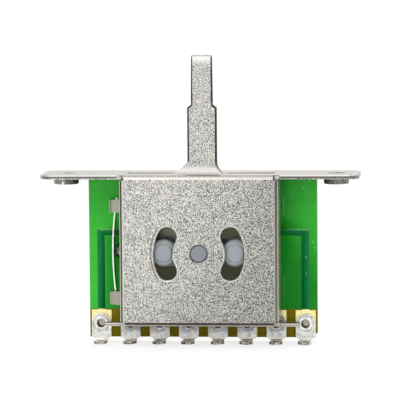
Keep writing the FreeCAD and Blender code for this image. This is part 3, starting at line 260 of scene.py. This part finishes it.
leverZones = (
    # bright tip, and a painted highlight on the foot
    {"z": (16.9, 19.0), "tone": (0.88, 0.88, 0.87), "share": 0.95, "soft": 0.7},
    {"z": (-1.5, 0.85), "tone": (1.0, 0.99, 0.95), "share": 0.97, "soft": 0.5, "matt": 0.7},
    # cut edges, painted with shade and reflections: sides, tip, shoulders and flare
    {"y": bladeEdge, "z": (1.5, 17.65), "tone": (0.085, 0.08, 0.065), "share": 0.85},
    {"y": bladeEdge, "z": (17.65, 19), "tone": (0.42, 0.42, 0.40), "share": 0.85},
    {"y": bladeEdge, "z": (10.38, 10.88), "tone": (0.45, 0.44, 0.41), "share": 0.8},
    {"y": bladeEdge, "z": (-1.0, 1.5), "tone": (0.30, 0.29, 0.26), "share": 0.75},
    # painted shade on the part inside the case
    {"z": (-20.0, -2.0), "tone": (0.13, 0.122, 0.085), "share": 0.88},
)
# painted highlight on the kidney slots' rims, and a painted shade line beside the left one
kidney = {
    "radius": 5.45, "half": 1.4, "reach": 28.6, "face": (-5.18, -5.1),
    "rim": 0.24, "soft": 0.05, "tone": (0.98, 0.96, 0.88), "lightest": (-2.8, 0.4),
    "line": (0.26, 0.34, 0.5, 0.6), "shade": (0.16, 0.16, 0.14), "shadeShare": 0.75, "lineLeftOf": -6.2,
}


def kidneyRimHighlights(f, colour):
    # painted highlight round both kidney slots, stronger to the lower right, with a painted shade line
    # outside the left one
    s = kidney
    across = f.x.size() * 1000
    up = (f.z - pivot.z) * 1000
    rise = up.size()
    turn = math.radians(s["reach"])
    overArc = rise.below(across * math.tan(turn))
    arc = ((across * across + up * up).root() - s["radius"]).size()
    endX = across - s["radius"] * math.cos(turn)
    endZ = rise - s["radius"] * math.sin(turn)
    reach = overArc * arc + (1 - overArc) * (endX * endX + endZ * endZ).root()
    front = 1 - f.y.rise(*s["face"])
    edge = s["half"] + s["rim"]
    rim = (1 - reach.ramp(edge - s["soft"], edge + s["soft"])) * front
    highlightSide = (f.x * 500 - up * 0.5).ramp(*s["lightest"])
    colour = f.mix(colour, s["tone"], rim * (0.5 + highlightSide * 0.5))
    start, full, fade, end = (s["half"] + gap for gap in s["line"])
    line = (reach.ramp(start, full) * (1 - reach.ramp(fade, end))) * front
    return f.mix(colour, s["shade"], line * f.x.below(s["lineLeftOf"] * mm) * s["shadeShare"])


def nickelFinish(name, zones, frontPlate=False):
    # tumbled steel under dull nickel: sparkling grain, and smooth edges and bends carrying the zones'
    # painted reflections, highlights and shade
    s = nickel
    f = Finish(name)
    fine = f.noise(s["grain"], detail=0)
    pits = f.noise(s["grain"] * s["pitGrain"], detail=0, seed=(0.3, 0.1, 0.2))
    grain = fine * s["fineShare"] + pits * (1 - s["fineShare"])
    level = grain.ramp(*s["contrast"])
    colour = f.mix(s["dark"], s["light"], level)
    blotch = f.noise(s["blotch"], seed=(0.7, 0.4, 0.9))
    colour = f.mix(colour, s["warm"], blotch.ramp(0.45, 0.8) * s["warmShare"])
    if frontPlate:
        # painted shade darkens the plate to the lower right, where its pits are darker too
        t = plateShade
        colour = kidneyRimHighlights(f, colour)
        low = (f.x.smaller(t["upTo"] * mm) * t["lean"] - f.z).rise(*t["reach"])
        pitsAndShade = (low + f.x.rise(*t["pitsAndShade"]) * 0.5).clamped()
        colour = f.mix(colour, t["tone"], low, "MULTIPLY")
        colour = f.mix(colour, t["pit"], pitsAndShade * (1 - level) * t["pitShare"])
    smooth, matt = f.lift(0.0), f.lift(0.0)
    for zone in zones:
        share = f.zone(zone) * zone["share"]
        colour = f.mix(colour, zone["tone"], share)
        smooth = smooth.larger(share)
        if "matt" in zone:
            matt = matt.larger(share * zone["matt"])
    f.feed("Base Color", colour)
    f.feed("Metallic", 1 - matt)
    f.feed("Roughness", s["rough"][0] + level * (s["rough"][1] - s["rough"][0]))
    f.bump(grain * (1 - smooth), s["reliefShare"], s["relief"])
    return f.material


nylon = {
    "skin": (0.30, 0.325, 0.335), "pale": (0.295, 0.32, 0.36), "pin": (0.212, 0.223, 0.252),
    "rough": 0.36, "bosses": ((-5.45, -11.9), (5.45, -11.9)), "crown": (1.05, 1.35),
    "pinAxis": (0, -11.9), "pinRadius": 1.5,
}


def nylonFinish(name):
    # clouded moulding, bluish on the raised crowns and darker on the journal
    s = nylon
    f = Finish(name, Subsurface_Weight=0.1, Subsurface_Scale=0.5 * mm, IOR=1.5, Specular_IOR_Level=0.3)
    cloud = f.noise(0.9, detail=3)
    left, right = (f.fromAxis(*axis) for axis in s["bosses"])
    crown = 1 - left.smaller(right).ramp(*s["crown"])
    colour = f.mix(s["skin"], s["pale"], (cloud * 0.3 + crown * 0.7).clamped())
    colour = f.mix(colour, s["pin"], f.fromAxis(*s["pinAxis"]).below(s["pinRadius"]))
    f.feed("Base Color", colour)
    f.feed("Roughness", s["rough"] + f.noise(0.25, detail=3) * 0.16)
    f.bump(f.noise(0.12, detail=3), 0.2, 0.008)
    return f.material


mask = {
    "green": (0.043, 0.50, 0.042), "deep": (0.001, 0.21, 0.006), "copper": (0.0, 0.172, 0.052),
    "edge": (0.30, 0.66, 0.30), "inside": (0.86, 0.93, 0.60), "dust": (0.75, 0.9, 0.75), "rough": 0.2,
    "darkX": (12, 17.5), "darkDown": (6, 20), "dusty": 12, "back": 3.0,
    "behindCase": {"side": (-1, 11.5), "y": (2, 2.7)},
    "tracks": ((-16.33, -15.17, -21.2, -8.95), (-15.8, -12.0, -9.85, -8.95),
               (15.17, 16.33, -21.2, -8.95), (12.0, 15.8, -9.85, -8.95)),
    "trackEdgeGlints": ((-15.9, -12.0, -9.02, -8.86), (12.0, 16.3, -9.02, -8.86)),
    "trackGlint": (12.38, 12.5, -6.8, -4.0), "faintTrackGlint": (12.38, 12.46, -19.1, -16.2),
    "shadeLeft": (-15.1, -11.5), "shadeBelow": (-10.2, -9.8), "shadeRight": (11.5, 13.0),
}


def maskFinish(name):
    # green lacquer: painted shade to the lower right and beside the case, bluish over copper, painted
    # highlights on track edges, and painted light behind the case, so pale that it shows as olive in the
    # shade there
    s = mask
    f = Finish(name, Coat_Weight=0.04, Coat_Roughness=0.1, Specular_IOR_Level=0.12)
    cloud = f.noise(3.5, detail=3)
    rear = f.y.above(s["back"] * mm)
    # painted shade, darker to the right of the case and downwards
    shadeToLowerRight = (1 - f.x.rise(*s["darkX"])) * 0.4 + (0 - f.z).rise(*s["darkDown"]) * 0.72 + 0.2
    shade = f.x.above(0) * (1 - rear) * shadeToLowerRight + rear * 0.45 + cloud.ramp(0.35, 0.75) * 0.15
    colour = f.mix(s["green"], s["deep"], shade.clamped())
    colour = f.mix(colour, s["copper"], f.anyOf(s["tracks"]) * 0.9)
    # painted highlight along the top edges of the tracks
    colour = f.mix(colour, s["edge"], f.anyOf(s["trackEdgeGlints"], soft=0.05) * 0.55)
    # painted highlights: pale lines along the lit edge of a track beside the right wall
    trackGlint = f.within(*s["trackGlint"], soft=0.06).larger(f.within(*s["faintTrackGlint"], soft=0.06) * 0.5)
    colour = f.mix(colour, s["edge"], trackGlint * 0.8)
    # painted shade on the board beside the case's side walls, on the left only below the level of the tracks
    low = 1 - f.z.rise(*s["shadeBelow"])
    shadeBesideCase = (f.span(f.x, *s["shadeLeft"], 0.5) * low).larger(f.span(f.x, *s["shadeRight"], 0.7))
    colour = f.mix(colour, s["deep"], shadeBesideCase * (1 - rear) * 0.68)
    # painted light: the mask behind the case is pale, so that it shows as olive in the shade there
    colour = f.mix(colour, s["inside"], f.zone(s["behindCase"]))
    weave = f.wave("X", 0.9, 0.6) * f.wave("Z", 0.9, 0.6)
    colour = f.mix(colour, s["deep"], weave * 0.1)
    dust = f.cells(1.6).below(0.05) * f.x.above(s["dusty"] * mm)
    colour = f.mix(colour, s["dust"], dust * 0.8)
    f.feed("Base Color", colour)
    f.feed("Roughness", s["rough"] + f.noise(0.7, detail=3) * 0.14)
    f.bump(f.noise(0.6, detail=3) * 0.5 + weave * 0.5, 0.25, 0.012)
    return f.material


laminate = {
    "resin": (0.180, 0.140, 0.002), "glass": (0.26, 0.21, 0.006), "edge": (0.24, 0.19, 0.05),
    "inside": (0.86, 0.93, 0.60), "rough": 0.5, "cloth": 0.55, "layer": 0.2, "cut": (2.65, 4.15),
    "behindCase": {"side": (-1, 11.5), "y": (2, 4), "z": (-19, -3)},
}


def laminateFinish(name):
    # woven glass in resin: crossing yarns on the faces, fine layers on the cut edges
    s = laminate
    f = Finish(name, Specular_IOR_Level=0.1)
    cloth = f.wave("X", s["cloth"], 0.8) * f.wave("Z", s["cloth"], 0.8)
    layers = f.wave("Y", s["layer"], 0.5)
    colour = f.mix(s["resin"], s["glass"], cloth * 0.6)
    colour = f.mix(colour, f.mix(s["edge"], s["resin"], layers), f.span(f.y, *s["cut"], 0.03))
    colour = f.mix(colour, s["resin"], f.noise(1.6).ramp(0.4, 0.7) * 0.35)
    # painted light: the laminate behind the case is pale, so that it shows as olive in the shade there
    colour = f.mix(colour, s["inside"], f.zone(s["behindCase"]))
    f.feed("Base Color", colour)
    f.feed("Roughness", s["rough"] + cloth * 0.15)
    f.bump(cloth + layers * 0.3, 0.3, 0.015)
    return f.material


plated = {
    "gold_plate": {"name": "flashGold", "tones": ((0.82, 0.70, 0.26), (0.99, 0.93, 0.50)),
                   "rough": (0.22, 0.40)},
    "bronze": {"name": "springBronze", "tones": ((0.40, 0.22, 0.08), (0.72, 0.46, 0.20)),
               "rough": (0.20, 0.35)},
    "spring_steel": {"name": "brightSteel", "tones": ((0.58, 0.64, 0.56), (0.92, 0.98, 0.90)),
                     "rough": (0.14, 0.28), "size": 0.8, "relief": 0.004},
    "ball_steel": {"name": "polishedBall", "tones": ((0.30, 0.30, 0.31), (0.55, 0.55, 0.56)),
                   "rough": (0.08, 0.16), "size": 0.8, "relief": 0.002},
}


def platedFinish(name, tones, rough, size=0.5, relief=0.012, spread=(0.3, 0.65)):
    # plated metal with soft stains; tones is (dull, bright)
    f = Finish(name, Metallic=1.0)
    stain = f.noise(size, detail=3, rough=0.6)
    speck = f.noise(size * 0.3, seed=(0.2, 0.8, 0.5))
    f.colour = f.mix(*tones, (stain.ramp(*spread) * 0.75 + speck.ramp(0.3, 0.7) * 0.25).clamped())
    f.feed("Base Color", f.colour)
    f.feed("Roughness", rough[0] + stain * (rough[1] - rough[0]))
    f.bump(stain * 0.6 + speck * 0.4, 0.35, relief)
    return f


tin = {
    "plate": {"tones": ((0.50, 0.505, 0.50), (0.97, 0.975, 0.96)), "rough": (0.24, 0.42),
              "size": 0.6, "relief": 0.03, "spread": (0.34, 0.62)},
    "warm": (0.86, 0.80, 0.66), "blue": (0.74, 0.78, 0.86), "shade": (0.20, 0.21, 0.24),
    "shadeBeside": (11.9, 13.2), "shadeUnder": (-25.5, -23.9), "shadeInFrontOf": 3.5,
    "lipHighlight": (0.99, 0.95, 0.86), "lipHighlightZone": {"y": (1.9, 2.7), "z": (-25.85, -25.5)},
    "eye": ((0.07, 0.065, 0.04), (0.80, 0.79, 0.72)), "eyeFold": (1.2, 2.0),
    "pitch": 4.5, "row": -23.37, "rimShadeRing": (1.16, 1.28),
    "dimple": ((0.40, 0.37, 0.31), (0.07, 0.065, 0.055)), "dimpleEdge": (0.46, 0.68),
    "dimpleMiddle": (0.14, 0.12), "dimpleDepth": (2.1, 3.1),
}


def tinFinish(name, rivets=False):
    # hot dipped tin: bright and dull patches, with painted shade below the case, round the rivet rims, in
    # the dimples and on the solder eyes, and a painted highlight on the lugs' lower edge
    s = tin
    f = platedFinish(name, **s["plate"])
    colour = f.mix(f.colour, s["warm"], f.noise(1.1, seed=(0.4, 0.1, 0.3)).ramp(0.5, 0.75) * 0.35)
    colour = f.mix(colour, s["blue"], f.noise(1.3, seed=(0.9, 0.6, 0.2)).ramp(0.5, 0.75) * 0.4)
    # painted shadow of the case, patchy, on the lugs just below it
    between = 1 - f.x.size().rise(*s["shadeBeside"])
    under = between * f.z.rise(*s["shadeUnder"]) * f.y.below(s["shadeInFrontOf"] * mm)
    patchy = 0.45 + f.noise(0.6, seed=(0.1, 0.7, 0.4)).ramp(0.3, 0.6) * 0.5
    colour = f.mix(colour, s["shade"], under * patchy)
    # painted warm highlight along the lugs' lower edge
    colour = f.mix(colour, s["lipHighlight"], f.zone(s["lipHighlightZone"]) * 0.8)
    # across and up from the nearest rivet's middle
    half = s["pitch"] / 2 * mm
    across = (f.x - half).wrapped(half, -half) * 1000
    up = (f.z - s["row"] * mm) * 1000
    if rivets:
        # painted shade: a dark crescent inside each rivet's dimple, lighter towards its offset middle
        sideways, upwards = s["dimpleMiddle"]
        offset = (across - sideways) * (across - sideways) + (up - upwards) * (up - upwards)
        dimpleShading = f.mix(*s["dimple"], offset.root().ramp(*s["dimpleEdge"]))
        colour = f.mix(colour, dimpleShading, f.span(f.y, *s["dimpleDepth"], 0.08))
    else:
        # painted shade line round the rim of the rivet on each lug
        rimShadeRing = f.span((across * across + up * up).root() * mm, *s["rimShadeRing"], 0.05)
        colour = f.mix(colour, s["shade"], rimShadeRing * 0.6)
        # painted shade, mottled, on the solder eyes where they stand out in front of the lugs
        stain = f.mix(*s["eye"], f.noise(0.4, seed=(0.5, 0.2, 0.1)).ramp(0.4, 0.62))
        colour = f.mix(colour, stain, (1 - f.y.rise(*s["eyeFold"])) * 0.85)
    f.feed("Base Color", colour)
    return f.material


finishes = {
    "nickel_plate": nickelFinish("dullNickel", frameZones, frontPlate=True),
    "lever_steel": nickelFinish("leverNickel", leverZones),
    "nylon": nylonFinish("greyNylon"),
    "solder_mask": maskFinish("greenMask"),
    "laminate": laminateFinish("glassLaminate"),
    "tin_plate": tinFinish("dullTin"),
    "rivet_tin": tinFinish("rivetTin", rivets=True),
}
finishes.update({slot: platedFinish(**settings).material for slot, settings in plated.items()})
print("finishes made:", len(finishes))


def onlySelect(piece):
    bpy.ops.object.select_all(action="DESELECT")
    piece.select_set(True)
    bpy.context.view_layer.objects.active = piece


def newPrimitive(add, name, stretch=(1, 1, 1), **settings):
    # adds a primitive by itself, stretches it and applies its place
    bpy.ops.object.select_all(action="DESELECT")
    add(**settings)
    piece = bpy.context.object
    piece.name = name
    piece.scale = stretch
    bpy.ops.object.transform_apply(location=True, rotation=True, scale=True)
    return piece


def applyModifiers(piece):
    onlySelect(piece)
    for modifier in list(piece.modifiers):
        bpy.ops.object.modifier_apply(modifier=modifier.name)


def smoothShade(piece, degrees):
    onlySelect(piece)
    bpy.ops.object.shade_smooth_by_angle(angle=math.radians(degrees))


def finishPiece(piece, slot, finish=None):
    piece.data.materials.clear()
    piece.data.materials.append(finishes[finish or slot])


def bevelEdges(piece, wanted, width, segments, **settings):
    # bevels in edit mode the edges that wanted(first, second) picks by their ends
    points = piece.data.vertices
    onlySelect(piece)
    for edge in piece.data.edges:
        edge.select = wanted(*(points[i].co for i in edge.vertices))
    bpy.ops.object.mode_set(mode="EDIT")
    bpy.ops.mesh.select_mode(type="EDGE")
    bpy.ops.mesh.bevel(offset=width * mm, segments=segments, **settings)
    bpy.ops.mesh.select_mode(type="VERT")
    bpy.ops.object.mode_set(mode="OBJECT")


bladeTip = {"above": 17.95, "side": 1.3, "middle": 0.25, "round": 0.28, "segments": 3}


def roundTip(piece):
    # the two upper corners of the lever's blade
    s = bladeTip

    def corner(point):
        return point.z > s["above"] * mm and abs(point.x - s["middle"] * mm) > s["side"] * mm

    bevelEdges(piece, lambda first, second: corner(first) and corner(second) and first.x * second.x > 0,
               s["round"], s["segments"], clamp_overlap=True)


dressing = {
    "weld": 0.0004, "flat": 0.4, "smooth": 38, "bevelSegments": 2, "bevelFrom": 40,
    "bevel": {"frame": 0.035, "lever": 0.03, "contact_carrier": 0.04, "circuit_board": 0.03,
              "terminal_rivets": 0.08},
    "terminalBevel": 0.03, "finish": {"terminal_rivets": "rivet_tin"},
}


def dressNode(node):
    # a welded copy of a CAD node with fine edges and smooth curves stands for it
    s = dressing
    piece = nodes[node].copy()
    piece.data = piece.data.copy()
    piece.name = f"{node}_skin"
    piece.parent = None
    for key in list(piece.keys()):
        del piece[key]
    bpy.context.scene.collection.objects.link(piece)
    onlySelect(piece)
    bpy.ops.object.mode_set(mode="EDIT")
    bpy.ops.mesh.select_all(action="SELECT")
    bpy.ops.mesh.remove_doubles(threshold=s["weld"] * mm)
    bpy.ops.mesh.dissolve_limited(angle_limit=math.radians(s["flat"]))
    bpy.ops.mesh.select_all(action="DESELECT")
    bpy.ops.object.mode_set(mode="OBJECT")
    if node == "lever":
        roundTip(piece)
    width = s["bevel"].get(node, s["terminalBevel"] if node.startswith("terminal_") else 0)
    if width:
        bevel = piece.modifiers.new("fineEdges", "BEVEL")
        bevel.width = width * mm
        bevel.segments = s["bevelSegments"]
        bevel.limit_method = "ANGLE"
        bevel.angle_limit = math.radians(s["bevelFrom"])
        bevel.use_clamp_overlap = True
    smoothShade(piece, s["smooth"])
    if width:
        even = piece.modifiers.new("flatFaces", "WEIGHTED_NORMAL")
        even.keep_sharp = True
        applyModifiers(piece)
    finishPiece(piece, slotOf[node], s["finish"].get(node))
    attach(piece, bodyOf[node])
    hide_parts(node)


for node in nodes:
    if node != "detent_spring":
        dressNode(node)
print("nodes dressed")


thread = {
    "holes": {"thread_left": -20.65, "thread_right": 20.65}, "core": 1.25, "crest": 1.13, "root": 0.02,
    "flank": 0.16, "pitch": 0.5, "top": -0.32, "turns": 2, "steps": 40, "smooth": 50,
}


def makeThread(name, x):
    # a three-sided ridge run round the bore of a collar
    s = thread
    ridge = newPrimitive(bpy.ops.mesh.primitive_circle_add, name, vertices=3, radius=s["flank"] * mm,
                         location=(0, 0, 0), rotation=(math.pi / 2, 0, 0))
    root = s["core"] + s["root"]
    section = ((root, s["flank"]), (s["crest"], 0.0), (root, -s["flank"]))
    for vertex, (radius, height) in zip(ridge.data.vertices, section):
        vertex.co = (radius * mm, 0, height * mm)
    screw = ridge.modifiers.new("turns", "SCREW")
    screw.axis = "Z"
    screw.steps = screw.render_steps = s["steps"]
    screw.iterations = s["turns"]
    screw.screw_offset = -s["pitch"] * mm
    screw.use_merge_vertices = False
    applyModifiers(ridge)
    for vertex in ridge.data.vertices:
        vertex.co += Vector((x * mm, 0, s["top"] * mm))
    bpy.ops.object.mode_set(mode="EDIT")
    bpy.ops.mesh.select_all(action="SELECT")
    bpy.ops.mesh.remove_doubles(threshold=dressing["weld"] * mm)
    bpy.ops.mesh.normals_make_consistent(inside=False)
    bpy.ops.object.mode_set(mode="OBJECT")
    smoothShade(ridge, s["smooth"])
    finishPiece(ridge, "nickel_plate")
    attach(ridge, "frame")


for name, x in thread["holes"].items():
    makeThread(name, x)
print("threads cut")


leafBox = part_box("detent_spring")
leaf = {
    "half": (leafBox[1][2] - leafBox[0][2]) / 2 / mm, "outer": -leafBox[0][0] / mm, "width": 3.2,
    "bow": 51.0, "thick": 0.25, "cuts": 24, "edge": 0.05, "smooth": 40,
}


def makeLeafHalf(name, sign):
    # a flat bar, cut along its length and curved to the spring's bow
    s = leaf
    half = newPrimitive(bpy.ops.mesh.primitive_cube_add, name, size=1,
                        stretch=(s["thick"] * mm, s["width"] * mm, s["half"] * mm),
                        location=(0, 0, sign * s["half"] / 2 * mm))
    middle = s["half"] / 2 * mm
    # every edge but those at the seam between the halves
    bevelEdges(half, lambda first, second: max(abs(first.z), abs(second.z)) > middle, s["edge"], 2)
    bpy.ops.object.mode_set(mode="EDIT")
    for i in range(1, s["cuts"]):
        bpy.ops.mesh.select_all(action="SELECT")
        bpy.ops.mesh.bisect(plane_co=(0, 0, sign * s["half"] * i / s["cuts"] * mm), plane_no=(0, 0, 1))
    bpy.ops.object.mode_set(mode="OBJECT")
    centre = s["bow"] + s["thick"] / 2 - s["outer"]
    for vertex in half.data.vertices:
        angle = vertex.co.z / (s["bow"] * mm)
        radius = s["bow"] * mm - vertex.co.x
        x = centre * mm - radius * math.cos(angle)
        vertex.co = Vector((x, vertex.co.y, radius * math.sin(angle) + pivot.z))
    smoothShade(half, s["smooth"])
    finishPiece(half, "spring_steel")
    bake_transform(half)
    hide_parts("detent_spring")


makeLeafHalf("leaf_spring_upper", 1)
makeLeafHalf("leaf_spring_lower", -1)
print("leaf spring bowed")


floorSettings = {
    "drop": 0.05, "size": 3000, "white": (0.93, 0.93, 0.93), "grey": (0.90, 0.90, 0.90), "blotch": 60,
    "rough": 0.9, "glow": 1.04, "near": 45, "far": 190, "share": 0.72,
}


def floorFinish(name):
    # pale, and whiter to the camera with distance, with the object's shadow kept
    s = floorSettings
    f = Finish(name, Roughness=s["rough"], Specular_IOR_Level=0.1)
    f.feed("Base Color", f.mix(s["white"], s["grey"], f.noise(s["blotch"]) * 0.3))
    glow = f.node("ShaderNodeEmission", values={"Color": (1, 1, 1), "Strength": s["glow"]})
    reach = (f.x * f.x + f.y * f.y).root().rise(s["near"], s["far"])
    seen = f.node("ShaderNodeLightPath", output="Is Camera Ray")
    share = seen * (s["share"] + reach * (1 - s["share"]))
    f.show(f.node("ShaderNodeMixShader", values={0: share, 1: Signal(f, f.shader.outputs[0]), 2: glow}))
    return f.material


def makeFloor():
    s = floorSettings
    floor = newPrimitive(bpy.ops.mesh.primitive_plane_add, "floor", size=s["size"] * mm,
                         location=(0, 0, cadBounds[0][2] - s["drop"] * mm))
    floor.data.materials.append(floorFinish("paleFloor"))


sky = {"tone": (1.0, 0.99, 0.97), "ambient": 1.0}


def makeSky():
    # white to the camera, and an even soft light to the object
    world = bpy.data.worlds.new("studio")
    bpy.context.scene.world = world
    world.use_nodes = True
    w = NodeMaker(world.node_tree)
    soft = w.node("ShaderNodeBackground", values={"Color": sky["tone"], "Strength": sky["ambient"]})
    white = w.node("ShaderNodeBackground", values={"Color": (1, 1, 1), "Strength": 1.0})
    seen = w.node("ShaderNodeLightPath", output="Is Camera Ray")
    w.show(w.node("ShaderNodeMixShader", values={0: seen, 1: soft, 2: white}))


light = {
    "aimAt": (0, 0, -8),
    "lamps": {
        "key": {"spot": (-260, -420, 420), "width": 420, "watts": 1.3},
        "fill": {"spot": (420, -380, 120), "width": 360, "watts": 0.35},
        "rim": {"spot": (60, 320, 360), "width": 300, "watts": 0.6},
    },
}


def addToScene(name, data):
    holder = bpy.data.objects.new(name, data)
    bpy.context.scene.collection.objects.link(holder)
    return holder


def makeLamps():
    for name, s in light["lamps"].items():
        lamp = bpy.data.lights.new(name, "AREA")
        lamp.size = s["width"] * mm
        lamp.energy = s["watts"]
        holder = addToScene(name, lamp)
        holder.location = Vector(s["spot"]) * mm
        aim = Vector(light["aimAt"]) * mm - holder.location
        holder.rotation_euler = aim.to_track_quat("-Z", "Y").to_euler()


cards = {
    "tone": (0.02, 0.02, 0.02), "rough": 0.9,
    "places": {
        "flagLeft": {"spot": (-170, -40, 60), "width": 150, "tall": 420},
        "flagRight": {"spot": (190, -60, 60), "width": 190, "tall": 420},
    },
}


def makeCards():
    # dark cards out of view, which draw the dark lines along bends and edges
    f = Finish("blackCard", Base_Color=cards["tone"], Roughness=cards["rough"], Specular_IOR_Level=0.0)
    for name, s in cards["places"].items():
        away = Vector((s["spot"][0], s["spot"][1], 0))
        card = newPrimitive(bpy.ops.mesh.primitive_plane_add, name, size=1,
                            stretch=(s["width"] * mm, s["tall"] * mm, 1), location=Vector(s["spot"]) * mm,
                            rotation=away.to_track_quat("Z", "Y").to_euler())
        card.data.materials.append(f.material)
        card.visible_camera = False
        card.visible_shadow = False
        card.visible_diffuse = False


view = {"target": (-0.16, 0.0, -4.16), "azimuth": 5.0, "elevation": 5.0, "roll": -0.45,
        "distance": 430.0, "pixelsPerMm": 6.56, "pixelsAcross": 400, "sensor": 36, "clip": (10, 10000)}


def makeCamera():
    s = view
    turn, lift = math.radians(s["azimuth"]), math.radians(s["elevation"])
    away = Vector((math.sin(turn) * math.cos(lift), -math.cos(turn) * math.cos(lift), math.sin(lift)))
    lens = bpy.data.cameras.new("view")
    lens.sensor_width = s["sensor"]
    lens.lens = s["sensor"] * s["distance"] * s["pixelsPerMm"] / s["pixelsAcross"]
    lens.clip_start, lens.clip_end = (place * mm for place in s["clip"])
    camera = addToScene("view", lens)
    camera.location = Vector(s["target"]) * mm + away * s["distance"] * mm
    aim = (-away).to_track_quat("-Z", "Y") @ Quaternion((0, 0, 1), math.radians(s["roll"]))
    camera.rotation_euler = aim.to_euler()
    bpy.context.scene.camera = camera


makeFloor()
makeSky()
print("floor and sky made")
makeLamps()
makeCards()
print("lamps and cards placed:", len(light["lamps"]), len(cards["places"]))
makeCamera()
bpy.context.scene.view_settings.view_transform = "Standard"
print("camera set")
